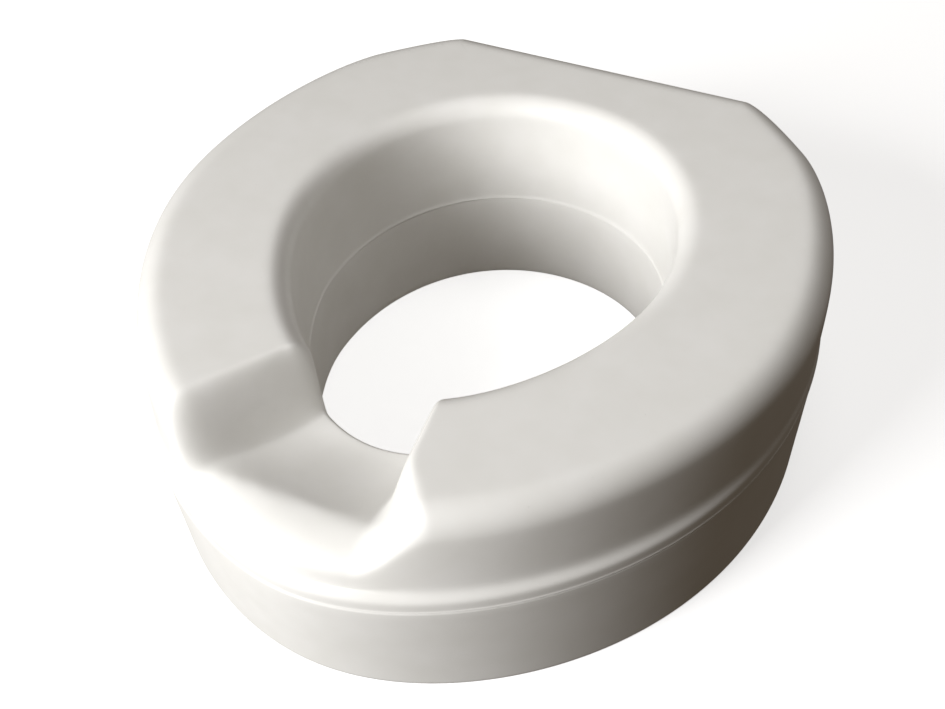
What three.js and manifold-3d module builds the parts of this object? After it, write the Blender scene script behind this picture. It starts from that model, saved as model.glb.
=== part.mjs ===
// Raised toilet seat: two foam mouldings joined over a plywood ring, with rubber grips and two side clamps.
// Millimetres, +Z up. The front recess faces -Y, the flat back faces +Y, and z = 0 is the lowest edge.
import * as THREE from 'three';
import { mergeVertices } from 'three/addons/utils/BufferGeometryUtils.js';
import Module from 'manifold-3d';

const wasm = await Module();
wasm.setup();

// ---- Overall size -------------------------------------------------------------------------------
const HEIGHT = 141;
const HALF_WIDTH = 199.4;
const FRONT_Y = -211.8;
const BACK_Y = 211.2;
const WIDEST_Y = 20;
const BACK_FLAT_HALF = 100;
const HOLE_HALF_WIDTH = 107.5;
const HOLE_FRONT_Y = -113;
const HOLE_BACK_Y = 145.5;
const HOLE_WIDEST_Y = 24;

// ---- Heights of the parting lines, walls and edges -----------------------------------------------
const SEAM_OUT = 75.5;
const SEAM_IN = 66.7;
const GAP = 0.3;
const LEDGE_TOP = 84;
const EDGE_ROUND_OUT = 17;
const EDGE_ROUND_IN = 13;
const HOLE_FLARE = 2.7;
const BOTTOM_ROUND = 1.2;
const SKIRT_WALL = 12;
const GUARD_WALL = 9;
const DECK_Z = 28;

// ---- Front recess: plan lines of the top edge and the foot of each flank, from the hole outwards ---
const RECESS_LIP_Z = 108;
const RECESS_INNER_Z = 92;
const RECESS_LEFT = { top: [[-47, -101], [-84, -152]], foot: [[-39, -108], [-64, -171]], flare: 0 };
const RECESS_RIGHT = { top: [[38, -104], [50, -190]], foot: [[25, -104], [29, -190]], flare: 24 };
const LIP_EXTRA = 12;
const LIP_ROUND = 14;
const RECESS_HOLE_ROUND = 3;

// ---- Plywood ring between the mouldings ----------------------------------------------------------
const RING_FROM_OUTSIDE = 26;
const RING_FROM_HOLE = 20;

// ---- Joining screws ------------------------------------------------------------------------------
const SCREW_ANGLES = [20, 70, 155, 205, 290, 340];
const SCREW_SHANK_R = 2.9;
const SCREW_HEAD_R = 6;
const SCREW_HEAD = [29.3, 33];
const SCREW_TIP_Z = 83;
const COUNTERBORE_R = 7.2;
const COUNTERBORE_Z = 34.6;
const CLEARANCE_R = 3.4;
const WASHER_R = 6.4;
const WASHER_Z = [33.3, 34.3];
const INSERT_R = 5;
const INSERT_Z = [76.1, 84.5];

// ---- Grip pads under the deck --------------------------------------------------------------------
const GRIP_ANGLES = [47, 130, 230, 313];
const GRIP_LENGTH = 62;
const GRIP_WIDTH = 26;
const GRIP_THICK = 3;

// ---- Side clamps ---------------------------------------------------------------------------------
const CLAMP_Y = 5;
const CLAMP_WIDTH = 34;
const CLAMP_TRAVEL = 12;
const BRACKET_THICK = 4;
const BRACKET_OUT_X = 180;
const BRACKET_IN_X = 142;
const BRACKET_TOP_Z = 39.2;
const BRACKET_FOOT_Z = 5;
const STUD_X = 152;
const STUD_R = 3;
const STUD_HEAD_R = 7;
const POCKET_IN_X = 128;
const POCKET_OUT_X = 184;
const POCKET_Z = 39.6;

const ROUND = 12;

// ---- Materials -----------------------------------------------------------------------------------
const skin = new THREE.MeshStandardMaterial({ color: 0xdedcd7, roughness: 0.55, metalness: 0 });
const plywood = new THREE.MeshStandardMaterial({ color: 0xc79f6a, roughness: 0.75, metalness: 0 });
const rubber = new THREE.MeshStandardMaterial({ color: 0x3a3b3d, roughness: 0.85, metalness: 0 });
const nylon = new THREE.MeshStandardMaterial({ color: 0xcfd0cd, roughness: 0.5, metalness: 0 });
const knobPlastic = new THREE.MeshStandardMaterial({ color: 0x2f3133, roughness: 0.5, metalness: 0 });
const steel = new THREE.MeshStandardMaterial({ color: 0xb9bcc0, roughness: 0.35, metalness: 1 });
const brass = new THREE.MeshStandardMaterial({ color: 0xc9a24a, roughness: 0.4, metalness: 1 });

const seat = new THREE.Group();

function addMesh(name, geometry, material, parent = seat) {
  const mesh = new THREE.Mesh(geometry, material);
  mesh.name = name;
  parent.add(mesh);
  return mesh;
}

// ---- Plan outlines -------------------------------------------------------------------------------
function outerOutline() {
  const path = new THREE.Path();
  path.moveTo(0, FRONT_Y);
  path.bezierCurveTo(82, FRONT_Y, HALF_WIDTH, WIDEST_Y - 141, HALF_WIDTH, WIDEST_Y);
  path.bezierCurveTo(HALF_WIDTH, 88, 171, 151, 149, 173);
  path.quadraticCurveTo(111, BACK_Y, BACK_FLAT_HALF, BACK_Y);
  path.lineTo(-BACK_FLAT_HALF, BACK_Y);
  path.quadraticCurveTo(-111, BACK_Y, -149, 173);
  path.bezierCurveTo(-171, 151, -HALF_WIDTH, 88, -HALF_WIDTH, WIDEST_Y);
  path.bezierCurveTo(-HALF_WIDTH, WIDEST_Y - 141, -82, FRONT_Y, 0, FRONT_Y);
  return path;
}

function holeOutline() {
  const path = new THREE.Path();
  path.moveTo(0, HOLE_FRONT_Y);
  path.bezierCurveTo(56, HOLE_FRONT_Y, HOLE_HALF_WIDTH, HOLE_WIDEST_Y - 55, HOLE_HALF_WIDTH, HOLE_WIDEST_Y);
  path.bezierCurveTo(HOLE_HALF_WIDTH, HOLE_WIDEST_Y + 70, 61, HOLE_BACK_Y, 0, HOLE_BACK_Y);
  path.bezierCurveTo(-61, HOLE_BACK_Y, -HOLE_HALF_WIDTH, HOLE_WIDEST_Y + 70, -HOLE_HALF_WIDTH, HOLE_WIDEST_Y);
  path.bezierCurveTo(-HOLE_HALF_WIDTH, HOLE_WIDEST_Y - 55, -56, HOLE_FRONT_Y, 0, HOLE_FRONT_Y);
  return path;
}

// Angle about the middle of the seat, 0 at the front and turning towards +X.
const MIDDLE_Y = 5;
function angleOf(p) {
  const a = Math.atan2(p.x, MIDDLE_Y - p.y);
  return a < 0 ? a + 2 * Math.PI : a;
}

// Points with their outward normals, one for each wanted angle.
function sampleAt(path, angles) {
  const dense = path.getSpacedPoints(1440).slice(0, -1);
  dense.sort((p, q) => angleOf(p) - angleOf(q));
  const n = dense.length;
  return angles.map((wanted) => {
    let k = dense.findIndex((p) => angleOf(p) >= wanted);
    if (k < 0) k = 0;
    const before = dense[(k - 3 + n) % n];
    const after = dense[(k + 3) % n];
    const tangent = new THREE.Vector2().subVectors(after, before).normalize();
    return { p: dense[k].clone(), n: new THREE.Vector2(tangent.y, -tangent.x) };
  });
}

// Rings share their angles, spaced evenly along the outer edge and twice as close across the recess.
const EDGE_STEPS = 144;
const RECESS_END_Y = -112;
const spaced = outerOutline().getSpacedPoints(EDGE_STEPS).slice(0, -1);
const kept = spaced.filter((p, k) => k % 2 === 0 || p.y < RECESS_END_Y);
const ANGLES = kept.map(angleOf).sort((a, b) => a - b);
const SEGMENTS = ANGLES.length;
const OUTER = sampleAt(outerOutline(), ANGLES);
const HOLE = sampleAt(holeOutline(), ANGLES);

// An inset or offset may be a number, or a function of how far forward the point faces (1 at the front).
const value = (v, facing) => (typeof v === 'function' ? v(facing) : v);
function outerRing(inset, z) {
  return OUTER.map(({ p, n }) => {
    const d = value(inset, -n.y);
    return new THREE.Vector3(p.x - n.x * d, p.y - n.y * d, z);
  });
}

function holeRing(offset, z) {
  return HOLE.map(({ p, n }) => {
    const d = value(offset, -n.y);
    return new THREE.Vector3(p.x + n.x * d, p.y + n.y * d, z);
  });
}

function between(ringA, ringB, t) {
  return ringA.map((a, i) => a.clone().lerp(ringB[i], t));
}

// ---- Solids --------------------------------------------------------------------------------------
function solidFrom(geometry) {
  const g = geometry.clone();
  g.deleteAttribute('normal');
  g.deleteAttribute('uv');
  const merged = mergeVertices(g, 1e-4);
  return new wasm.Manifold(new wasm.Mesh({
    numProp: 3,
    vertProperties: new Float32Array(merged.attributes.position.array),
    triVerts: new Uint32Array(merged.index.array),
  }));
}

function geometryFrom(solid) {
  const mesh = solid.getMesh();
  const g = new THREE.BufferGeometry();
  g.setAttribute('position', new THREE.BufferAttribute(new Float32Array(mesh.vertProperties), 3));
  g.setIndex(new THREE.BufferAttribute(new Uint32Array(mesh.triVerts), 1));
  return g;
}

function cut(geometry, tools) {
  let solid = solidFrom(geometry);
  for (const tool of tools) {
    solid = solid.subtract(solidFrom(tool));
  }
  return geometryFrom(solid);
}

// A ring-shaped solid: its section runs through the given rings and closes on the first.
function ringSolid(rings) {
  const n = SEGMENTS;
  const positions = rings.flat().flatMap((p) => [p.x, p.y, p.z]);
  const index = [];
  rings.forEach((_, r) => {
    const next = (r + 1) % rings.length;
    for (let i = 0; i < n; i += 1) {
      const j = (i + 1) % n;
      index.push(r * n + i, r * n + j, next * n + j);
      index.push(r * n + i, next * n + j, next * n + i);
    }
  });
  const g = new THREE.BufferGeometry();
  g.setAttribute('position', new THREE.Float32BufferAttribute(positions, 3));
  g.setIndex(index);
  return g;
}

function cylinder(radius, low, high, x, y) {
  const g = new THREE.CylinderGeometry(radius, radius, high - low, ROUND);
  g.rotateX(Math.PI / 2);
  g.translate(x, y, (low + high) / 2);
  return g;
}

function box(low, high) {
  const size = high.map((v, i) => v - low[i]);
  const g = new THREE.BoxGeometry(...size);
  g.translate(...low.map((v, i) => v + size[i] / 2));
  return g;
}

// A turned solid about a vertical axis, from radius and height pairs that start and end on the axis,
// or that close on themselves when it has a bore.
function turned(profile) {
  const g = new THREE.LatheGeometry(profile.map(([r, z]) => new THREE.Vector2(r, z)), ROUND);
  g.rotateX(Math.PI / 2);
  return g;
}

function washer(inner, outer, low, high) {
  return turned([[inner, low], [outer, low], [outer, high], [inner, high], [inner, low]]);
}

// ---- Front recess --------------------------------------------------------------------------------
const smooth = (t) => {
  const c = Math.min(1, Math.max(0, t));
  return c * c * (3 - 2 * c);
};

// Distance of a point from a plan line, positive to the left of someone walking along it.
function leftOf([[xa, ya], [xb, yb]], x, y) {
  return ((xb - xa) * (y - ya) - (yb - ya) * (x - xa)) / Math.hypot(xb - xa, yb - ya);
}

// How far down a flank a point is: 0 at its top edge, 1 at its foot. Turn is +1 where the recess lies
// to the left of the flank's lines, and -1 where it lies to the right. The flare widens its outer end.
function downFlank({ top, foot, flare }, turn, x, y) {
  const pastTop = turn * leftOf(top, x, y) + flare * smooth((-150 - y) / 45);
  const beforeFoot = -turn * leftOf(foot, x, y);
  if (pastTop <= 0) return 0;
  return beforeFoot <= 0 ? 1 : smooth(pastTop / (pastTop + beforeFoot));
}

function recessShare(x, y) {
  return downFlank(RECESS_LEFT, 1, x, y) * downFlank(RECESS_RIGHT, -1, x, y);
}

// The floor falls from its outer lip towards the hole, steeply at first.
const LIP_Y = FRONT_Y + 34;
const FLOOR_END_Y = HOLE_FRONT_Y - 6;
function recessDepth(x, y) {
  const left = Math.min(1, Math.max(0, (FLOOR_END_Y - y) / (FLOOR_END_Y - LIP_Y)));
  const floor = RECESS_INNER_Z + (RECESS_LIP_Z - RECESS_INNER_Z) * left ** 1.6;
  return (HEIGHT - floor) * recessShare(x, y);
}

// The rounded edges drop to the recess floor as they are, and the wall below them is shortened. Nothing
// moves below the first height, and everything above the second drops by the full depth.
function sink(ring, still, whole) {
  return ring.map((p) => {
    const share = Math.min(1, Math.max(0, (p.z - still) / (whole - still)));
    return new THREE.Vector3(p.x, p.y, p.z - share * recessDepth(p.x, p.y));
  });
}

// ---- Seat mouldings ------------------------------------------------------------------------------
// The body above the ledge is set back at the front and bulges a little over the ledge at the sides.
const wallInset = (facing) => -0.6 + 5.6 * smooth(facing / 0.65);
const baseInset = (facing) => 4.7 + 3.5 * Math.max(0, facing) ** 6;
const HOLE_FOOT_FLARE = 2;

// Rounded edges of the top, at an angle from 0 on the outer wall to a right angle on the top, and from
// the top down into the hole. Across the recess the outer edge is broad, and the edge of the hole crisp.
function outerRoll(a) {
  return OUTER.map(({ p, n }) => {
    const run = 1 - Math.cos(a);
    const d = wallInset(-n.y) + EDGE_ROUND_OUT * run;
    const share = recessShare(p.x - n.x * d, p.y - n.y * d);
    const inset = d + LIP_EXTRA * share * run;
    const round = EDGE_ROUND_OUT + (LIP_ROUND - EDGE_ROUND_OUT) * share;
    return new THREE.Vector3(p.x - n.x * inset, p.y - n.y * inset, HEIGHT - round * (1 - Math.sin(a)));
  });
}

function holeRoll(a) {
  return HOLE.map(({ p, n }) => {
    const run = 1 - Math.sin(a);
    const d = HOLE_FLARE + EDGE_ROUND_IN * run;
    const share = recessShare(p.x + n.x * d, p.y + n.y * d);
    const round = EDGE_ROUND_IN + (RECESS_HOLE_ROUND - EDGE_ROUND_IN) * share;
    const offset = HOLE_FLARE + round * run;
    return new THREE.Vector3(p.x + n.x * offset, p.y + n.y * offset, HEIGHT - round * (1 - Math.cos(a)));
  });
}

function upperMoulding() {
  const outside = [
    [0.6, SEAM_OUT + GAP / 2], [0, SEAM_OUT + 2], [0, LEDGE_TOP - 2], [1, LEDGE_TOP + 1],
    [(f) => 1.2 + wallInset(f) * 0.6, LEDGE_TOP + 5], [(f) => 0.8 + wallInset(f) * 0.75, LEDGE_TOP + 12],
    [(f) => 0.2 + wallInset(f) * 0.9, HEIGHT - EDGE_ROUND_OUT - 10],
  ].map(([inset, z]) => outerRing(inset, z));
  const roundSteps = 5;
  const turns = Array.from({ length: roundSteps + 1 }, (_, k) => (k / roundSteps) * (Math.PI / 2));
  outside.push(...turns.map(outerRoll));
  const inside = turns.map(holeRoll);
  inside.push(holeRing(HOLE_FLARE / 2, (HEIGHT + SEAM_IN) / 2));
  const topEdge = outside[outside.length - 1];
  const topShares = [1, 2, 3, 4, 5, 6].map((k) => k / 7);
  const top = topShares.map((t) => between(topEdge, inside[0], t));
  const rings = [
    ...outside.map((r) => sink(r, LEDGE_TOP + 3, HEIGHT - EDGE_ROUND_OUT)),
    ...top.map((r) => sink(r, LEDGE_TOP + 3, HEIGHT - EDGE_ROUND_OUT)),
    ...inside.map((r) => sink(r, SEAM_IN + 5, HEIGHT - EDGE_ROUND_IN)),
    holeRing(0.5, SEAM_IN + GAP / 2),
    holeRing(RING_FROM_HOLE, SEAM_IN + GAP / 2),
    holeRing(RING_FROM_HOLE, SEAM_OUT + GAP / 2),
    outerRing(RING_FROM_OUTSIDE, SEAM_OUT + GAP / 2),
  ];
  return ringSolid(rings);
}

function lowerMoulding() {
  const rings = [
    outerRing(baseInset, BOTTOM_ROUND),
    outerRing(0, SEAM_OUT - 2),
    outerRing(0.6, SEAM_OUT - GAP / 2),
    outerRing(RING_FROM_OUTSIDE, SEAM_OUT - GAP / 2),
    outerRing(RING_FROM_OUTSIDE, SEAM_IN - GAP / 2),
    holeRing(RING_FROM_HOLE, SEAM_IN - GAP / 2),
    holeRing(0.5, SEAM_IN - GAP / 2),
    holeRing(HOLE_FOOT_FLARE, BOTTOM_ROUND),
    holeRing(HOLE_FOOT_FLARE + BOTTOM_ROUND, 0),
    holeRing(HOLE_FOOT_FLARE + GUARD_WALL, 0),
    holeRing(HOLE_FOOT_FLARE + GUARD_WALL, DECK_Z),
    outerRing((f) => baseInset(f) + SKIRT_WALL, DECK_Z),
    outerRing((f) => baseInset(f) + SKIRT_WALL, 0),
    outerRing((f) => baseInset(f) + BOTTOM_ROUND, 0),
  ];
  return ringSolid(rings);
}

// Middle of the underside channel at an angle in degrees.
function channelPoint(degrees, share = 0.5) {
  const angle = [THREE.MathUtils.degToRad(degrees)];
  const o = sampleAt(outerOutline(), angle)[0];
  const h = sampleAt(holeOutline(), angle)[0];
  const skirt = o.p.clone().addScaledVector(o.n, -(baseInset(-o.n.y) + SKIRT_WALL));
  const guard = h.p.clone().addScaledVector(h.n, HOLE_FOOT_FLARE + GUARD_WALL);
  return { at: guard.lerp(skirt, share), facing: Math.atan2(o.n.y, o.n.x) };
}

const screws = SCREW_ANGLES.map((a) => channelPoint(a).at);
const sides = [['right', 1], ['left', -1]];

const lowerTools = [];
for (const { x, y } of screws) {
  lowerTools.push(cylinder(CLEARANCE_R, COUNTERBORE_Z - 1, SEAM_IN + 1, x, y));
  lowerTools.push(cylinder(COUNTERBORE_R, DECK_Z - 1, COUNTERBORE_Z, x, y));
}
const pocketHalf = CLAMP_WIDTH / 2 + 2;
for (const [, s] of sides) {
  const xs = [s * POCKET_IN_X, s * POCKET_OUT_X].sort((a, b) => a - b);
  lowerTools.push(box([xs[0], CLAMP_Y - pocketHalf, DECK_Z - 1], [xs[1], CLAMP_Y + pocketHalf, POCKET_Z]));
  lowerTools.push(cylinder(CLEARANCE_R, POCKET_Z - 1, SEAM_IN - 3, s * STUD_X, CLAMP_Y));
  lowerTools.push(cylinder(STUD_HEAD_R + GAP, SEAM_IN - 4.6, SEAM_IN + 1, s * STUD_X, CLAMP_Y));
}

const upperTools = screws.map(({ x, y }) => cylinder(INSERT_R + GAP, SEAM_OUT - 1, INSERT_Z[1] + 1, x, y));
addMesh('seat_upper', cut(upperMoulding(), upperTools), skin);
addMesh('seat_lower', cut(lowerMoulding(), lowerTools), skin);

const ringPlate = ringSolid([
  outerRing(RING_FROM_OUTSIDE + GAP, SEAM_IN + GAP / 2),
  outerRing(RING_FROM_OUTSIDE + GAP, SEAM_OUT - GAP / 2),
  holeRing(RING_FROM_HOLE + GAP, SEAM_OUT - GAP / 2),
  holeRing(RING_FROM_HOLE + GAP, SEAM_IN + GAP / 2),
]);
const plateHoles = screws.map(({ x, y }) => cylinder(CLEARANCE_R, SEAM_IN - 1, SEAM_OUT + 1, x, y));
addMesh('stiffener_ring', cut(ringPlate, plateHoles), plywood);

// ---- Joining screws, washers and threaded inserts -------------------------------------------------
function screwGeometry() {
  const [low, high] = SCREW_HEAD;
  return turned([
    [0, low + 1], [2, low + 1], [2.2, low], [SCREW_HEAD_R - 1.4, low], [SCREW_HEAD_R, low + 1.6],
    [SCREW_HEAD_R, high], [SCREW_SHANK_R, high], [SCREW_SHANK_R, SCREW_TIP_Z - 1.5],
    [SCREW_SHANK_R - 1, SCREW_TIP_Z], [0, SCREW_TIP_Z],
  ]);
}

function insertGeometry() {
  const [low, high] = INSERT_Z;
  const bore = SCREW_SHANK_R + GAP;
  const groove = INSERT_R - 0.8;
  return turned([
    [bore, low], [INSERT_R, low], [INSERT_R, low + 2.5], [groove, low + 3.3], [groove, high - 3.3],
    [INSERT_R, high - 2.5], [INSERT_R, high - 0.8], [groove, high], [bore, high], [bore, low],
  ]);
}

screws.forEach(({ x, y }, k) => {
  const parts = [
    ['joining_screw', screwGeometry(), steel],
    ['screw_washer', washer(SCREW_SHANK_R + GAP, WASHER_R, ...WASHER_Z), steel],
    ['threaded_insert', insertGeometry(), brass],
  ];
  for (const [name, geometry, material] of parts) {
    addMesh(`${name}_${k + 1}`, geometry, material).position.set(x, y, 0);
  }
});

// ---- Rubber grip pads under the deck --------------------------------------------------------------
function roundedBar(length, width, thick, corner) {
  const shape = new THREE.Shape();
  const [a, b] = [length / 2 - corner, width / 2 - corner];
  shape.absarc(a, b, corner, 0, Math.PI / 2);
  shape.absarc(-a, b, corner, Math.PI / 2, Math.PI);
  shape.absarc(-a, -b, corner, Math.PI, 1.5 * Math.PI);
  shape.absarc(a, -b, corner, 1.5 * Math.PI, 2 * Math.PI);
  return new THREE.ExtrudeGeometry(shape, { depth: thick, bevelEnabled: false, curveSegments: 3 });
}

GRIP_ANGLES.forEach((degrees, k) => {
  const { at, facing } = channelPoint(degrees);
  const pad = addMesh(`grip_pad_${k + 1}`, roundedBar(GRIP_LENGTH, GRIP_WIDTH, GRIP_THICK, 5), rubber);
  pad.position.set(at.x, at.y, DECK_Z - GAP - GRIP_THICK);
  pad.rotation.z = facing + Math.PI / 2;
});

// ---- Side clamps: stud, washer, thumb nut, sliding bracket and its rubber face ---------------------
const BRACKET_LEG_Z = BRACKET_TOP_Z - BRACKET_THICK;
const NUT_Z = [29, 33.6];
const NUT_WASHER_Z = [33.8, BRACKET_LEG_Z - 0.2];
const NUT_LOBES = 8;
const NUT_R = 11;

function bracketGeometry() {
  const leg = BRACKET_OUT_X - BRACKET_THICK;
  const half = CLAMP_WIDTH / 2;
  const shape = new THREE.Shape([
    new THREE.Vector2(BRACKET_IN_X, BRACKET_LEG_Z), new THREE.Vector2(leg - 1, BRACKET_LEG_Z),
    new THREE.Vector2(leg, BRACKET_LEG_Z - 1), new THREE.Vector2(leg, BRACKET_FOOT_Z),
    new THREE.Vector2(BRACKET_OUT_X, BRACKET_FOOT_Z), new THREE.Vector2(BRACKET_OUT_X, BRACKET_TOP_Z),
    new THREE.Vector2(BRACKET_IN_X, BRACKET_TOP_Z),
  ]);
  const g = new THREE.ExtrudeGeometry(shape, { depth: CLAMP_WIDTH, bevelEnabled: false });
  g.rotateX(Math.PI / 2);
  g.translate(0, half, 0);
  const slotHalf = STUD_R + 0.5;
  const slotEnd = STUD_X + CLAMP_TRAVEL;
  const low = BRACKET_LEG_Z - 1;
  const high = BRACKET_TOP_Z + 1;
  return cut(g, [
    box([STUD_X, -slotHalf, low], [slotEnd, slotHalf, high]),
    cylinder(slotHalf + 0.02, low, high, STUD_X, 0),
    cylinder(slotHalf + 0.02, low, high, slotEnd, 0),
  ]);
}

function thumbNutGeometry() {
  const shape = new THREE.Shape();
  const steps = NUT_LOBES * 4;
  for (let k = 0; k < steps; k += 1) {
    const a = (k / steps) * 2 * Math.PI;
    const r = NUT_R - 0.8 * (1 - Math.cos(NUT_LOBES * a));
    const point = [r * Math.cos(a), r * Math.sin(a)];
    if (k === 0) shape.moveTo(...point);
    else shape.lineTo(...point);
  }
  const bore = new THREE.Path();
  bore.absarc(0, 0, STUD_R + GAP, 0, 2 * Math.PI, true);
  shape.holes.push(bore);
  const depth = NUT_Z[1] - NUT_Z[0];
  const g = new THREE.ExtrudeGeometry(shape, { depth, bevelEnabled: false, curveSegments: 8 });
  g.translate(0, 0, NUT_Z[0]);
  return g;
}

function studGeometry() {
  const headTop = SEAM_IN - GAP - 0.2;
  const headLow = headTop - 3.6;
  return turned([
    [0, 28.7], [STUD_R - 0.8, 28.7], [STUD_R, 29.5], [STUD_R, headLow], [STUD_HEAD_R, headLow],
    [STUD_HEAD_R, headTop - 1.2], [STUD_HEAD_R - 2, headTop], [0, headTop],
  ]);
}

for (const [side, s] of sides) {
  const clamp = new THREE.Group();
  clamp.position.y = CLAMP_Y;
  clamp.rotation.z = s > 0 ? 0 : Math.PI;
  seat.add(clamp);
  addMesh(`clamp_bracket_${side}`, bracketGeometry(), nylon, clamp);
  const face = BRACKET_OUT_X - BRACKET_THICK - GAP;
  const faceHalf = CLAMP_WIDTH / 2 - 2;
  addMesh(`clamp_grip_${side}`, box([face - 5, -faceHalf, 7], [face, faceHalf, 24]), rubber, clamp);
  addMesh(`clamp_stud_${side}`, studGeometry(), steel, clamp).position.x = STUD_X;
  const nutWasher = washer(STUD_R + GAP, 9, ...NUT_WASHER_Z);
  addMesh(`clamp_washer_${side}`, nutWasher, steel, clamp).position.x = STUD_X;
  addMesh(`thumb_nut_${side}`, thumbNutGeometry(), knobPlastic, clamp).position.x = STUD_X;
}

export default seat;
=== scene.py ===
# %% [markdown]
# # A raised toilet seat
# The seat is two mouldings of polyurethane foam with a firm skin. They meet at a parting line that
# runs round the outside and inside the hole. Rubber pads and two sliding clamps sit in the hollow
# underside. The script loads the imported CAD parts, rebuilds what can be seen with finer meshes,
# gives every part its finish, and lights the whole.

# %% Load the frame
import math

import bmesh
import bpy
from mathutils import Matrix, Vector


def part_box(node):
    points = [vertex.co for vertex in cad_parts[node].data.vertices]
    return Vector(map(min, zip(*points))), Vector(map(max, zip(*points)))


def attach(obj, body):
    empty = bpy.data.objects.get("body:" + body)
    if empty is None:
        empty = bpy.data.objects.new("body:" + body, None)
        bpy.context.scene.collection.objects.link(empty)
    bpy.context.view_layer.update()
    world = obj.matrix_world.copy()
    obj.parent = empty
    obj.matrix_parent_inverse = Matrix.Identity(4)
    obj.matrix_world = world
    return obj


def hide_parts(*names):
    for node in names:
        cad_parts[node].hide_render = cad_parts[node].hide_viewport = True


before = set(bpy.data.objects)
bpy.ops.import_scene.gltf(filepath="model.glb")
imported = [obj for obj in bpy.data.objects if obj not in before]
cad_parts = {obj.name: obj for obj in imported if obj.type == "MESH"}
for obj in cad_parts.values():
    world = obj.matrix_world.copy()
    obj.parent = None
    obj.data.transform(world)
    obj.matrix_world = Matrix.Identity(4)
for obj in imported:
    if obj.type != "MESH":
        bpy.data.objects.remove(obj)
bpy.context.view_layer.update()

# %% [markdown]
# ## Units and helpers
# Blender works in metres, but a maker thinks of this seat in millimetres. Lengths are written in
# millimetres and multiplied by MM where they reach Blender. An operator acts on everything that is
# selected, so each piece of work starts by selecting only its own object.

# %% Units and helpers
MM = 0.001


def only(obj):
    """Selects and activates one object and nothing else."""
    bpy.ops.object.select_all(action="DESELECT")
    obj.select_set(True)
    bpy.context.view_layer.objects.active = obj
    return obj


def settle(obj, name):
    """Names a finished piece and moves its place, turn and scale into its mesh."""
    only(obj)
    bpy.ops.object.transform_apply(location=True, rotation=True, scale=True)
    obj.name = name
    obj.data.name = name
    return obj


def apply_modifier(obj, kind, **settings):
    """Adds a modifier, sets it up and applies it straight away."""
    only(obj)
    modifier = obj.modifiers.new(kind.title(), kind)
    for key, value in settings.items():
        setattr(modifier, key, value)
    bpy.ops.object.modifier_apply(modifier=modifier.name)


def select_where(obj, kind, test):
    """Enters edit mode and selects the vertices, edges or faces that pass a test."""
    only(obj)
    bpy.ops.object.mode_set(mode="EDIT")
    bpy.ops.mesh.select_mode(type=kind)
    bpy.ops.mesh.select_all(action="DESELECT")
    mesh = bmesh.from_edit_mesh(obj.data)
    for part in {"VERT": mesh.verts, "EDGE": mesh.edges, "FACE": mesh.faces}[kind]:
        if test(part):
            part.select_set(True)
    bmesh.update_edit_mesh(obj.data)


def close_shape(obj):
    """Merges doubles and turns all faces outwards."""
    only(obj)
    bpy.ops.object.mode_set(mode="EDIT")
    bpy.ops.mesh.select_all(action="SELECT")
    bpy.ops.mesh.remove_doubles(threshold=0.00001)
    bpy.ops.mesh.normals_make_consistent(inside=False)
    bpy.ops.object.mode_set(mode="OBJECT")


def smooth_by_angle(obj, degrees):
    """Shades an object smooth, apart from edges that turn by more than an angle."""
    only(obj)
    bpy.ops.object.shade_smooth_by_angle(angle=math.radians(degrees))


def ramp(value, low, high):
    """0 below low, 1 above high, and a smooth rise between."""
    t = min(1.0, max(0.0, (value - low) / (high - low)))
    return t * t * (3 - 2 * t)


# %% [markdown]
# ## Camera
# The camera stands in front of the seat, to its right, and looks down at 45 degrees from 0.84 m.
# It leans a few degrees to one side, as a hand-held camera does.

# %% Camera
CAMERA_AZIMUTH = math.radians(29.5)
CAMERA_ELEVATION = math.radians(45.38)
CAMERA_DISTANCE = 841.2 * MM
CAMERA_ROLL = math.radians(-4.24)
CAMERA_TARGET = Vector((-1.5, -29.4, 60.0)) * MM
CAMERA_LENS = 53.33
CAMERA_SHIFT = (0.0268, 0.029)


def direction(azimuth, elevation):
    """A unit vector from the seat. Azimuth 0 is to the front and a quarter turn is to the right."""
    return Vector((math.sin(azimuth) * math.cos(elevation),
                   -math.cos(azimuth) * math.cos(elevation), math.sin(elevation)))


to_camera = direction(CAMERA_AZIMUTH, CAMERA_ELEVATION)
bpy.ops.object.camera_add(location=CAMERA_TARGET + CAMERA_DISTANCE * to_camera)
camera = bpy.context.object
camera.rotation_mode = "QUATERNION"
level = (-to_camera).to_track_quat("-Z", "Y")
camera.rotation_quaternion = level @ Matrix.Rotation(CAMERA_ROLL, 4, "Z").to_quaternion()
camera.data.lens = CAMERA_LENS
camera.data.shift_x, camera.data.shift_y = CAMERA_SHIFT
bpy.context.scene.camera = camera
print("camera at", [round(v, 3) for v in camera.location])

# %% [markdown]
# ## Materials
# A finish is a chain of shader nodes: where the point is on the piece, a pattern there, and what
# that pattern does to colour, roughness or bumps. Patterns are sized from the real thing in
# millimetres. A few small functions make the chains short.

# %% Material helpers
def srgb(code):
    """A hex colour as the linear red, green, blue and alpha that a shader socket takes."""
    channels = [int(code[i:i + 2], 16) / 255 for i in (1, 3, 5)]
    linear = [c / 12.92 if c <= 0.04045 else ((c + 0.055) / 1.055) ** 2.4 for c in channels]
    return (*linear, 1.0)


def new_material(name, colour, roughness, metallic=0.0):
    """A material of one colour, with its node tree and its shader."""
    material = bpy.data.materials.new(name)
    material.use_nodes = True
    shader = material.node_tree.nodes["Principled BSDF"]
    shader.inputs["Base Color"].default_value = srgb(colour)
    shader.inputs["Roughness"].default_value = roughness
    shader.inputs["Metallic"].default_value = metallic
    return material, material.node_tree, shader


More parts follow.
